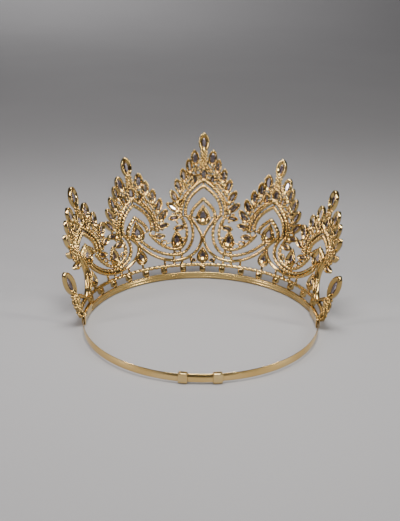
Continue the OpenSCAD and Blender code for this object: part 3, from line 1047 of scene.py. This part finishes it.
@dataclass
class PeakWork:
    """Builds the wirework, settings and stones of one peak."""

    peak: Peak
    side: int = 1
    arch_beading: float = 2.4
    inner_beading: float = 2.8
    stem_r: float = 0.8
    foot_r: float = 0.9
    bar_r: float = 0.6
    twig_r: float = 0.5
    grain_step: float = 1.6
    grain_r: float = 0.98
    stem_step: float = 1.15
    stem_grain_r: float = 1.0
    top_leaf: Setting = Setting(Outline.LEAF, (14.4, 7.8), back=1.2, throat=2.6)
    small_leaf: Setting = Setting(Outline.LEAF, (8.2, 4.0))
    small_turn: float = 12.0
    low_leaf: Setting = Setting(Outline.LEAF, (5.6, 3.0))
    low_leaf_place: Pair = (7.0, 13.3)
    low_leaf_turn: float = 76.0
    oval: Setting = Setting(Outline.OVAL, (8.6, 6.2))
    drop: Setting = Setting(Outline.PEAR, (12.8, 9.8), back=1.3, throat=2.75, halo=0.7)
    low_drop: Setting = Setting(Outline.PEAR, (9.8, 8.0), back=1.1, throat=2.3, halo=0.6)

    @property
    def label(self) -> str:
        """The peak's name as its nodes spell it."""
        return "centre" if self.peak is CENTRE else f"{hand(self.side)}_{self.peak.name}"

    def seat(self, place: Sequence[float], turn: float = 0.0) -> np.ndarray:
        """A seat on the peak's sheet."""
        bearing, v = self.peak.on_wall(place, self.side)[0]
        return WALL.seat(bearing, v, self.side * (self.peak.tilt + turn))

    def leaf_seats(self) -> list[Seated]:
        """Every leaf of the peak.

        Returns:
            Its setting, its seat's matrix, its place and its turn.
        """
        peak = self.peak
        found = [(self.top_leaf, np.array([0.0, peak.top]), 0.0)]
        for end in (-1, 1):
            for i, place in enumerate(peak.leaves()):
                length, width = peak.leaf_size(i)
                leaf = Setting(Outline.LEAF, (length + 1.1, width + 0.6), back=0.85)
                found.append((leaf, place * [end, 1], end * peak.leaf_turn(i)))
            found.append((self.small_leaf, peak.small_leaf * [end, 1], end * self.small_turn))
            if peak is CENTRE:
                x, v = self.low_leaf_place
                found.append((self.low_leaf, np.array([end * x, v]), end * self.low_leaf_turn))
        return [(setting, self.seat(place, turn), place, turn) for setting, place, turn in found]

    def drop_seats(self) -> list[Seated]:
        """The oval, the arch's pear and the small pear over the rail.

        Returns:
            The same as for the leaves.
        """
        found = [(self.oval, self.peak.oval), (self.drop, np.array([0.0, self.peak.pear])),
                 (self.low_drop, np.array([0.0, self.peak.low_pear]))]
        return [(setting, self.seat(place), place, 0.0) for setting, place in found]

    def build(self) -> None:
        """Makes the peak's five pieces."""
        for kind, seats in (("leaf", self.leaf_seats()), ("drop", self.drop_seats())):
            show_set(f"{self.label}_{kind}", "s", [seated[:2] for seated in seats],
                     len(self.label))
        frame = Form()
        self.arches(frame)
        self.stalks(frame)
        self.grains(frame)
        show(frame, f"{self.label}_frame", [Finish.WIRE])

    def line(self, half: np.ndarray) -> np.ndarray:
        """A whole arch, on the wall."""
        return self.peak.on_wall(mirrored(half), self.side)

    def arches(self, frame: Form) -> None:
        """The double arch, the arch in it and the outer peaks' own tails.

        Args:
            frame: the piece that they join.
        """
        peak = self.peak
        for grow in (0, ARCH_GROW):
            wire(frame, self.line(peak.arch(grow)), ARCH_WIRE, self.arch_beading, step=0.42)
        wire(frame, self.line(peak.inner_arch()), ARCH_WIRE, self.inner_beading, step=0.5)
        if peak is OUTER:
            for k in (0, 1):
                foot = [0.68 * peak.arch_w, peak.pear - 0.7] if k == 0 else [
                    peak.arch_w + 0.1, peak.pear + 0.4]
                line = bezier(peak.on_wall(foot)[0],
                              peak.on_wall([1 + 2 * k, peak.neck - 2])[0],
                              peak.on_wall([3 + 4 * k, 15])[0],
                              [80 - 4.7 + 3.8 * k, WALL.rail_v + 0.2])
                wire(frame, line * [self.side, 1], SWAG_WIRE)

    def stalks(self, frame: Form) -> None:
        """The stem, the bars and the small stalks that hold the settings.

        Args:
            frame: the piece that they join.
        """
        peak, oval_v = self.peak, self.peak.oval[1]

        def join(start: Sequence[float], end: Sequence[float], radius: float) -> None:
            """A stalk between two places of the sheet."""
            stalk(frame, peak.on_wall(start, self.side)[0], peak.on_wall(end, self.side)[0],
                  radius)

        join([0, peak.top - 6.6], [0, oval_v + 4], self.stem_r)
        join([0, oval_v - 4], [0, peak.apex], self.stem_r)
        join([0, peak.low_pear - 4.6], [0, WALL.rail_v], self.foot_r)
        for row, v in enumerate(np.arange(oval_v + 4.6, peak.top - 6.4, self.stem_step)):
            for x in (-1.1, 1.1) if row % 2 else (-2.0, 0.0, 2.0):
                middle = WALL.lay(peak.on_wall([x, v], self.side), -0.3 - 0.1 * x * x)[0]
                frame.bead(middle, self.stem_grain_r)
        shoulder = peak.leaves()[0]
        far = mirrored(peak.arch(ARCH_GROW))
        for end in (-1, 1):
            join([end * (shoulder[0] - 2.85), shoulder[1]], [0, shoulder[1]], self.twig_r)
            turn = math.radians(self.small_turn)
            small = peak.small_leaf - 3.2 * np.array([math.sin(turn), math.cos(turn)])
            join(small * [end, 1], nearest(far, small * [end, 1]), self.twig_r)
            for i in range(1, peak.pairs):
                root = peak.leaf_root(i) * [end, 1]
                held = (peak.small_leaf + [1.5, 0]) * [end, 1] if i == 1 else nearest(far, root)
                join(root, held, self.twig_r)
            foot, inner = peak.arch(0)[-1] * [end, 1], peak.inner_arch()[-1] * [end, 1]
            join(foot, inner, self.bar_r)
            join(foot, peak.arch(ARCH_GROW)[-1] * [end, 1], 0.65)
            join(inner, [end * 4.0, peak.pear - 2.4], self.bar_r)

    def grains(self, frame: Form) -> None:
        """Small round grains that fill the space between arch and leaves.

        Args:
            frame: the piece that they join.
        """
        peak = self.peak
        draw = random.Random(7)
        seats = [(s, p, t) for s, _, p, t in self.leaf_seats() + self.drop_seats()]
        for end in (-1, 1):
            for place, depth in self.places(draw):
                place = place * [end, 1]
                if any(self.covers(seat, place) for seat in seats):
                    continue
                middle = WALL.lay(peak.on_wall(place, self.side), depth)[0]
                frame.bead(middle, self.grain_r * draw.uniform(0.82, 1.14))

    def places(self, draw: random.Random) -> list[tuple[np.ndarray, float]]:
        """Where one side's grains lie: a row along the arch, then a packed filling.

        Args:
            draw: the source of their small disorder.

        Returns:
            Places on the peak's sheet, each with its depth out of the wall.
        """
        peak, step = self.peak, self.grain_step
        half, column = evenly(peak.arch(ARCH_GROW), step), peak.leaves()
        along = unit(np.gradient(half, axis=0))
        out = np.stack([-along[:, 1], along[:, 0]], 1)
        found = [(place, -0.2) for place in half + out * (self.grain_r + 0.7)]
        top = column[0][1] - 1.0
        for row, v in enumerate(np.arange(peak.foot + 2, top, 0.87 * step)):
            edge = np.interp(-v, -column[:, 1], column[:, 0]) + 0.6
            for x in np.arange(0.5 * step * (row % 2), edge, step):
                place = np.array([x + draw.uniform(-0.25, 0.25), v + draw.uniform(-0.25, 0.25)])
                gap = (place - half) * out
                inside = gap.sum(1)[np.argmin(np.linalg.norm(place - half, axis=1))]
                if inside > 2.1 * self.grain_r + 0.5 and draw.random() < 0.97:
                    found.append((place, draw.uniform(-0.8, 0.3)))
        return found

    @staticmethod
    def covers(seat: tuple[Setting, np.ndarray, float], place: np.ndarray) -> bool:
        """Whether a setting already fills a place.

        Args:
            seat: the setting, its place and its turn.
            place: the place to try.

        Returns:
            True where it does.
        """
        setting, middle, turn = seat
        t = math.radians(turn)
        dx, dv = place - middle
        x, y = dx * math.cos(t) - dv * math.sin(t), dx * math.sin(t) + dv * math.cos(t)
        return (2 * x / setting.size[1]) ** 2 + (2 * y / setting.size[0]) ** 2 < 1.0


# ---------------------------------------------------------------- the swags
@dataclass
class SwagWork:
    """Builds the nested swag between two peaks, with its ring and pear."""

    near: Peak
    far: Peak
    side: int
    pear: Setting = Setting(Outline.PEAR, (11.8, 8.0), back=1.1, throat=2.3, halo=0.6)
    beading: float = 3.0
    ring_r: float = 2.3
    ring_wire: float = 0.8
    ring_drop: float = 2.1
    curl_r: float = 2.0
    curl_wire: float = 0.65
    curl_grain_r: float = 1.35
    foot_gap: float = 2.1
    outer_gap: float = 7.2
    foot_r: float = 0.95
    strut_r: float = 0.85
    bar_r: float = 0.6
    twig_r: float = 0.5
    strut_step: float = 1.6
    strut_grain_r: float = 1.2

    @property
    def label(self) -> str:
        """The swag's name as its nodes spell it."""
        return hand(self.side) + ("_front" if self.near is CENTRE else "_side")

    @property
    def mid(self) -> float:
        """The bearing of the swag's lowest point."""
        share = 0.4 if self.near is CENTRE else 0.455
        return self.near.bearing + share * (self.far.bearing - self.near.bearing)

    @property
    def pear_v(self) -> float:
        """The pear's height."""
        return 29.0 if self.near is CENTRE else 25.8

    def low(self, k: int) -> float:
        """The lowest height of a nested line."""
        low = WALL.rail_v + 3.6
        return low + k * (self.pear_v - self.pear.size[0] / 2 - 1.5 - low) / 2

    def line(self, k: int) -> np.ndarray:
        """One nested line: 0 is the long ogee, 1 and 2 leave the double arch.

        Args:
            k: which line.

        Returns:
            Its bearings and heights.
        """
        near, far = self.near, self.far
        v, w, neck, low = near.pear, near.arch_w, near.neck, self.low(k)
        grow = ARCH_GROW * (k - 1)
        if k == 0:
            start, belly = near.on_wall([0.7, neck])[0], near.on_wall([0.7, neck - 6])[0]
            turn = near.on_wall([5, low + 1])[0]
            end = far.on_wall([-0.8, far.neck - 0.5])[0]
        else:
            start = near.on_wall([w + 0.9 * grow, v - 0.5 * grow])[0]
            belly = near.on_wall([4 + 5.5 * (k - 1), v - 7.5 - (k - 1)])[0]
            turn = near.on_wall([0.5 + 5 * k, low + 1])[0]
            end = far.on_wall([5.5 - 7.5 * k, far.pear - 10.6 + 3.8 * k])[0]
        reach, rise = end[0] - self.mid, end[1] - low
        parts = [
            bezier(start, belly, turn, [self.mid, low]),
            bezier([self.mid, low], [self.mid + 0.4 * reach, low],
                   [self.mid + 0.75 * reach, low + 0.4 * rise], end)[1:],
        ]
        if k == 0:
            parts.insert(0, bezier(near.on_wall([0.68 * w, v - 1])[0],
                                   near.on_wall([0.66 * w, neck + 0.7 * (v - neck)])[0],
                                   near.on_wall([3.4, neck + 0.5 * (v - neck)])[0], start)[:-1])
        return np.concatenate(parts)

    def build(self) -> None:
        """Makes the swag, its pear's setting and the stone."""
        form = Form()
        flip = np.array([self.side, 1])
        for k in range(3):
            wire(form, self.line(k) * flip, SWAG_WIRE, self.beading if k else 0.0, step=0.55)
        ring_v = self.pear_v - self.pear.size[0] / 2 - self.ring_drop
        self.ring(form, ring_v)

        def join(start: Sequence[float], end: Sequence[float], radius: float) -> None:
            """A stalk between two places on the wearer's left, or their mirror images."""
            stalk(form, np.multiply(start, flip), np.multiply(end, flip), radius)

        for end in (-1, 1):
            foot = self.mid + self.foot_gap * end
            join([foot, self.low(1)], [foot, WALL.rail_v], self.foot_r)
            join([foot, self.low(1)], [self.mid + 1.4 * end, ring_v], self.strut_r)
            for v in np.arange(WALL.rail_v + 1.2, self.low(1), self.strut_step):
                form.bead(WALL.lay([foot * self.side, v], -0.2)[0], self.strut_grain_r)
            outer = self.mid + self.outer_gap * end
            top = nearest(self.line(0), [outer, self.low(0)])[1]
            join([outer, top], [outer, WALL.rail_v], self.strut_r)
            beside = np.array([self.mid + WALL.degrees(end * 3.4, self.pear_v),
                               self.pear_v - 2.2])
            join(beside, nearest(self.line(2), beside + [3 * end, 1]), self.twig_r)
            self.curl(form, end)
        arch_foot = self.far.on_wall([-self.far.arch_w, self.far.pear])[0]
        join(self.line(2)[-1], arch_foot, self.bar_r)
        join(self.line(1)[-1], self.line(0)[-1], self.bar_r)
        show(form, f"{self.label}_swag", [Finish.WIRE])
        seat = WALL.seat(self.mid * self.side, self.pear_v)
        show_set(f"{self.label}_pear", "", [(self.pear, seat)], 5)

    def ring(self, form: Form, ring_v: float) -> None:
        """The small open ring that the pear stands on.

        Args:
            form: the piece that it joins.
            ring_v: the height of its middle.
        """
        turn = np.linspace(0, 2 * np.pi, 25)[:-1]
        line = np.stack([self.side * self.mid + np.degrees(self.ring_r * np.cos(turn)
                         / WALL.radius(ring_v)), ring_v + self.ring_r * np.sin(turn)], 1)
        form.tube(WALL.lay(line), WALL.normals(line), self.ring_wire, 9, looped=True)

    def curl(self, form: Form, end: int) -> None:
        """A small hooked wire with a grain at its tip, beside the pear.

        Args:
            form: the piece that it joins.
            end: 1 towards the far peak, -1 towards the near one.
        """
        turn = np.linspace(-0.4 * np.pi, 0.75 * np.pi, 14)
        base = nearest(self.line(2), [self.mid + self.outer_gap * end, self.low(2) + 3])
        x = WALL.degrees(1, base[1]) * (self.curl_r * np.cos(turn)) * -end
        line = np.stack([base[0] + x - end * 0.5,
                         base[1] + self.curl_r + self.curl_r * np.sin(turn)], 1)
        line = line * [self.side, 1]
        form.tube(WALL.lay(line), WALL.normals(line), self.curl_wire, 9)
        form.bead(WALL.lay(line[-1])[0], self.curl_grain_r, 6, 10)


# ---------------------------------------------------------------- the ends of the wall
@dataclass
class EndWork:
    """Builds one end: the scroll, the cluster of grains and the large end leaf."""

    side: int
    leaf: Setting = Setting(Outline.LEAF, (19.0, 8.6), back=1.5, throat=3.0)
    leaf_place: Pair = (92.6, 29.4)
    leaf_turn: float = 14.0
    leaf_spin: float = math.radians(34)
    spine: tuple[Pair, ...] = ((91.2, 5.7), (93.4, 8), (93, 13), (91.2, 21.4))
    low_line: tuple[Pair, ...] = ((79.5, 9.9), (84, 10.4), (88.5, 9.5))
    high_line: tuple[Pair, ...] = ((78, 9.9), (84, 15), (87, 19.5))
    spine_wire: float = 0.9
    beading: float = 3.0
    cluster_r: float = 2.1
    cluster_step: float = 1.35
    cluster_grains: int = 6

    def build(self) -> None:
        """Makes the scroll, the leaf's setting and its stone."""
        flip = np.array([self.side, 1])
        end = bezier(*self.spine, 6)
        scroll = Form()
        wire(scroll, end * flip, self.spine_wire)
        for handles, tip in ((self.low_line, end[2]), (self.high_line, end[5])):
            wire(scroll, bezier(*handles, tip) * flip, SWAG_WIRE, self.beading, step=0.5)
        draw = random.Random(11)
        for bearing, v in evenly(end, self.cluster_step)[:-1]:
            for k in range(self.cluster_grains):
                turn = math.radians(360 * k / self.cluster_grains) + draw.uniform(-0.4, 0.4)
                reach = self.cluster_r * draw.uniform(0.5, 1.0)
                place = [bearing + WALL.degrees(reach * math.cos(turn), v), v]
                middle = WALL.lay(np.array(place) * flip, reach * math.sin(turn))[0]
                scroll.bead(middle, draw.uniform(0.85, 1.35))
        show(scroll, f"{hand(self.side)}_end_scroll", [Finish.WIRE])
        bearing, v = self.leaf_place
        seat = WALL.seat(bearing * self.side, v, self.leaf_turn * self.side)
        seat = seat @ np.array(Matrix.Rotation(-self.side * self.leaf_spin, 4, "Y"))
        show_set(f"{hand(self.side)}_end_leaf", "", [(self.leaf, seat)], 9)


# ---------------------------------------------------------------- the ring
def turned(profile: Sequence[Pair], bearing: float) -> np.ndarray:
    """A profile of radius and height, stood at a bearing of the ring."""
    a = math.radians(bearing)
    return np.array([(r * math.sin(a), -r * math.cos(a), z) for r, z in profile])


def sweep(profile: Sequence[Pair], start: float, end: float) -> Form:
    """Sweeps a profile round the ring, with a ring of points to a degree.

    Args:
        profile: the closed profile.
        start: the first bearing.
        end: the last bearing.

    Returns:
        The swept form.
    """
    count = max(2, round(abs(end - start)))
    form = Form()
    form.loft(np.array([turned(profile, a) for a in np.linspace(start, end, count + 1)]))
    return form


def rounded(r0: float, r1: float, z0: float, z1: float, corner: float, bulge: float = 0.0
            ) -> list[Pair]:
    """A rectangle with rounded corners and, if wanted, swelled faces.

    Args:
        r0: inner radius.
        r1: outer radius.
        z0: lowest height.
        z1: highest height.
        corner: the corners' radius.
        bulge: how far the inner and outer faces swell in the middle.

    Returns:
        The profile's points.
    """
    points: list[Pair] = []
    for cr, cz, first in ((r1 - corner, z1 - corner, 0), (r0 + corner, z1 - corner, 90),
                          (r0 + corner, z0 + corner, 180), (r1 - corner, z0 + corner, 270)):
        for turn in (0, 30, 60, 90):
            t = math.radians(first + turn)
            points.append((cr + corner * math.cos(t), cz + corner * math.sin(t)))
        if first in (90, 270):
            r, sign = (r0, -1) if first == 90 else (r1, 1)
            for share in (0.25, 0.5, 0.75):
                down = share if first == 90 else 1 - share
                z = (z1 - corner) + (z0 - z1 + 2 * corner) * down
                points.append((r + sign * bulge * 4 * share * (1 - share), z))
    return points


@dataclass
class BandWork:
    """Builds the base band, the rail over it and the row of small settings between."""

    height: float = 4.8
    wall: float = 1.6
    end: float = 77.5
    rail_end: float = 80.0
    rail_r: float = 0.9
    rail_wire: float = 1.4
    rail_beading: float = 4.0
    post: Setting = Setting(Outline.SQUARE, (4.8, 4.4), closed=True)
    posts: int = 7
    post_step: float = 10.6

    def build(self) -> None:
        """Makes the four pieces."""
        show(sweep(self.profile(), -self.end, self.end), "base_band",
             [Finish.BAND])
        rail = Form()
        line = [(bearing, WALL.rail_v)
                for bearing in np.linspace(-self.rail_end, self.rail_end, 161)]
        wire(rail, np.array(line), self.rail_wire, self.rail_beading, step=0.7)
        show(rail, "upper_rail", [Finish.RAIL])
        low = self.height / math.cos(WALL.lean)
        v = (low + WALL.rail_v - self.rail_r) / 2 + 0.15
        seats = [(self.post, WALL.seat(i * self.post_step, v))
                 for i in range(-self.posts, self.posts + 1)]
        show_set("rail", "s", seats, 3)

    def profile(self) -> list[Pair]:
        """The band's profile: a flat outer face, and two seams round the inner one.

        Returns:
            The closed profile.
        """
        r0, r1, h = WALL.ring_r - self.wall / 2, WALL.ring_r + self.wall / 2, self.height
        points = [(r1, 0.3), (r1, h / 2), (r1, h - 0.3), (r1 - 0.1, h - 0.08), (r1 - 0.3, h),
                  (r0 + 0.3, h), (r0 + 0.1, h - 0.08), (r0, h - 0.3)]
        for share in (0.72, 0.3):
            z = share * h
            points += [(r0, z + 0.42), (r0 + 0.03, z + 0.26), (r0 + 0.17, z + 0.18),
                       (r0 + 0.17, z + 0.06), (r0 + 0.03, z - 0.02), (r0, z - 0.2)]
        return points + [(r0, 0.3), (r0 + 0.1, 0.08), (r0 + 0.3, 0), (r1 - 0.3, 0),
                         (r1 - 0.1, 0.08)]


@dataclass
class BackWork:
    """Builds the two sliding strips, their keepers and the end sockets."""

    strip_h: float = 4.8
    strip_t: float = 0.7
    sleeve_t: float = 0.55
    sleeve_bulge: float = 0.16
    lip: float = 0.18
    lip_arc: float = 0.28
    slide_gap: float = 0.25
    lane_gap: float = 0.3
    strip_z: float = 0.8
    keeper_arc: float = 4.0
    half_gap: float = 5.5
    mouth: float = 93.5
    root_arc: float = 8.5
    band_end: float = 77.5
    tail: float = 0.4
    crown: float = 0.2
    slope: float = 0.5
    brow: float = 0.24

    def build(self) -> None:
        """Makes the six pieces."""
        left = WALL.ring_r + self.lane_gap / 2
        right = WALL.ring_r - self.lane_gap / 2 - self.strip_t
        reach = self.half_gap + self.keeper_arc
        for name, lane, start, end in (
            ("left", left, self.mouth - self.root_arc, 180 + reach + self.tail),
            ("right", right, 180 - reach - self.tail, 360 - self.mouth + self.root_arc),
        ):
            show(sweep(self.strip_profile(lane), start, end), f"{name}_back_strip",
                 [Finish.STRIP], f"{name}_back_band")
        for name, lane, side in (("left", left, 1), ("right", right, -1)):
            first, last = sorted((side * self.band_end, side * self.mouth))
            self.sleeve(f"{name}_end_socket", "tiara", first, last, lane - self.slide_gap,
                        lane + self.strip_t + self.slide_gap)
        outer = left + self.strip_t
        self.sleeve("left_keeper", "right_back_band", 180 - reach, 180 - self.half_gap, right,
                    outer + self.slide_gap)
        self.sleeve("right_keeper", "left_back_band", 180 + self.half_gap, 180 + reach,
                    right - self.slide_gap, outer)

    def strip_profile(self, lane: float) -> list[Pair]:
        """A strip's profile: a flat inner face, and an outer one that slopes back near its top.

        Args:
            lane: the radius of its inner face.

        Returns:
            The closed profile.
        """
        low, half = self.strip_z, self.strip_h / 2
        inner, outer = lane + 0.04, lane + self.strip_t - 0.04
        crowned = [(outer - self.crown * min(share, 0) ** 2
                    - self.slope * max(share - self.brow, 0) / (1 - self.brow),
                    low + half * (1 + share)) for share in np.linspace(-0.96, 0.96, 17)]
        top, base = low + self.strip_h, low
        return [(inner + 0.1, base), (outer - self.crown - 0.06, base), *crowned,
                (outer - self.slope - 0.03, top), (inner, top - 0.06), (inner, base + 0.1)]

    def sleeve(self, node: str, body: str, first: float, last: float, r0: float, r1: float
               ) -> None:
        """Makes a sleeve with rounded lips.

        Args:
            node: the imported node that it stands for.
            body: the body that it rides on.
            first: its first bearing.
            last: its last bearing.
            r0: inner radius of its bore.
            r1: outer radius of its bore.
        """
        t = self.sleeve_t
        z0, z1 = self.strip_z - self.slide_gap, self.strip_z + self.strip_h + self.slide_gap
        soft = self.lip
        outer = rounded(r0 - t, r1 + t, 0.0, z1 + t, 0.4, self.sleeve_bulge)
        bore = rounded(r0 + 0.001, r1 - 0.001, z0, z1, 0.12)
        lip = rounded(r0 - t + soft, r1 + t - soft, soft, z1 + t - soft, 0.3)
        low, high = first + self.lip_arc, last - self.lip_arc
        marks = [(outer, high), (lip, last), (bore, last), (bore, first), (lip, first),
                 (outer, low)]
        inner = np.linspace(low, high, max(3, round(last - first)))
        marks += [(outer, bearing) for bearing in inner[1:-1]]
        form = Form()
        form.loft(np.array([turned(profile, bearing) for profile, bearing in marks]),
                  looped=True)
        show(form, node, [Finish.KEEPER], body)


# ---------------------------------------------------------------- studio
@dataclass(frozen=True)
class Panel:
    """A soft rectangular light; its power is in watts and its spread in degrees."""

    name: str
    place: Point
    aim: Point
    size: Pair
    power: float
    colour: Colour
    spread: float = 180.0

    def hang(self) -> None:
        """Adds the light to the scene."""
        data = bpy.data.lights.new(self.name, "AREA")
        data.spread = math.radians(self.spread)
        data.shape = "RECTANGLE"
        data.size, data.size_y = self.size
        data.energy, data.color = self.power, self.colour
        lamp = stand(self.name, data)
        lamp.location = self.place
        look = Vector(self.aim) - Vector(self.place)
        lamp.rotation_euler = look.to_track_quat("-Z", "Y").to_euler()


CROWN = (0, -0.05, 0.05)
DAYLIGHT = (1.0, 0.985, 0.98)
SPARKS = ((0.12, 0.95, 0.7), (-0.45, 0.8, 0.3), (0.5, 0.7, 0.9), (-0.3, 0.45, 1.1))
PANELS = (
    Panel("overhead", (0, -0.05, 0.95), (0, 0, 0), (0.5, 0.36), 1.5, (1.0, 0.985, 0.96), 54),
    Panel("floor_wash", (0.35, -1.1, 1.3), (0.3, -1.2, 0), (1.4, 0.9), 8.0, DAYLIGHT),
    Panel("backdrop_wash", (0.6, -1.9, 1.0), (0.3, -2.6, 0.4), (0.6, 0.4), 11.0, DAYLIGHT),
    Panel("near_wash", (0, 1.9, 1.4), (0, 2.0, 0), (1.4, 0.9), 6.0, DAYLIGHT),
    Panel("left_window", (0.8, 0.3, 0.5), CROWN, (0.1, 0.5), 5.0, (1.0, 0.93, 0.93)),
    Panel("right_window", (-0.8, 0.25, 0.55), CROWN, (0.1, 0.5), 6.0, (1.0, 0.98, 0.9)),
    *(Panel(f"spark_{i}", place, (0, 0, 0.05), (0.07, 0.07), 1.3, (1.0, 0.98, 0.94))
      for i, place in enumerate(SPARKS)),
)


@dataclass
class Studio:
    """Pale paper sweep, soft lights and the camera."""

    floor_z: float = -0.0002
    half_width: float = 3.2
    back: float = 2.6
    bend: float = 1.0
    bend_steps: int = 12
    top: float = 3.0
    gloom: tuple[float, ...] = (0.07, 0.07, 0.074, 1.0)
    lens: float = 56.13
    eye: Point = (-0.00151, 0.47172, 0.23431)
    aim: Point = (0.00138, 0.0, 0.04393)
    roll: float = math.radians(0.66)

    def build(self) -> None:
        """Makes the floor, the lights and the camera."""
        self.paper()
        for panel in PANELS:
            panel.hang()
        world = bpy.data.worlds.new("room")
        world.use_nodes = True
        background = world.node_tree.nodes["Background"]
        background.inputs["Color"].default_value = self.gloom
        background.inputs["Strength"].default_value = 1.0
        bpy.context.scene.world = world
        self.camera()

    def paper(self) -> None:
        """A floor that curves up into a backdrop, wide enough for every view."""
        half, far, bend = self.half_width, self.back, self.bend
        section = [(half, 0.0), (-far + bend, 0.0)]
        for step in range(1, self.bend_steps + 1):
            t = math.radians(90 * step / self.bend_steps)
            section.append((-far + bend - bend * math.sin(t), bend - bend * math.cos(t)))
        section.append((-far, self.top))
        points = [(x, y, z) for x in (-half, half) for y, z in section]
        count = len(section)
        faces = [(i, i + 1, count + i + 1, count + i) for i in range(count - 1)]
        mesh = bpy.data.meshes.new("studio_sweep")
        mesh.from_pydata([(x, y, z + self.floor_z) for x, y, z in points], [], faces)
        mesh.polygons.foreach_set("use_smooth", [True] * len(faces))
        mesh.materials.append(StageFinish().material())
        stand("studio_sweep", mesh)

    def camera(self) -> None:
        """Sets the camera behind and above the crown."""
        data = bpy.data.cameras.new("camera")
        data.lens = self.lens
        camera = stand("camera", data)
        camera.location = self.eye
        look = (Vector(self.aim) - Vector(self.eye)).to_track_quat("-Z", "Y")
        roll = Matrix.Rotation(self.roll, 4, "Z")
        camera.rotation_euler = (look.to_matrix().to_4x4() @ roll).to_euler()
        bpy.context.scene.camera = camera


def main() -> None:
    """Builds the crown and its studio, piece by piece."""
    logging.basicConfig(level=logging.INFO, format="%(name)s: %(message)s")
    BandWork().build()
    BackWork().build()
    PeakWork(CENTRE).build()
    for side in (1, -1):
        for peak in (INNER, OUTER):
            PeakWork(peak, side).build()
        SwagWork(CENTRE, INNER, side).build()
        SwagWork(INNER, OUTER, side).build()
        EndWork(side).build()
    Studio().build()


if __name__ == "__main__":
    main()
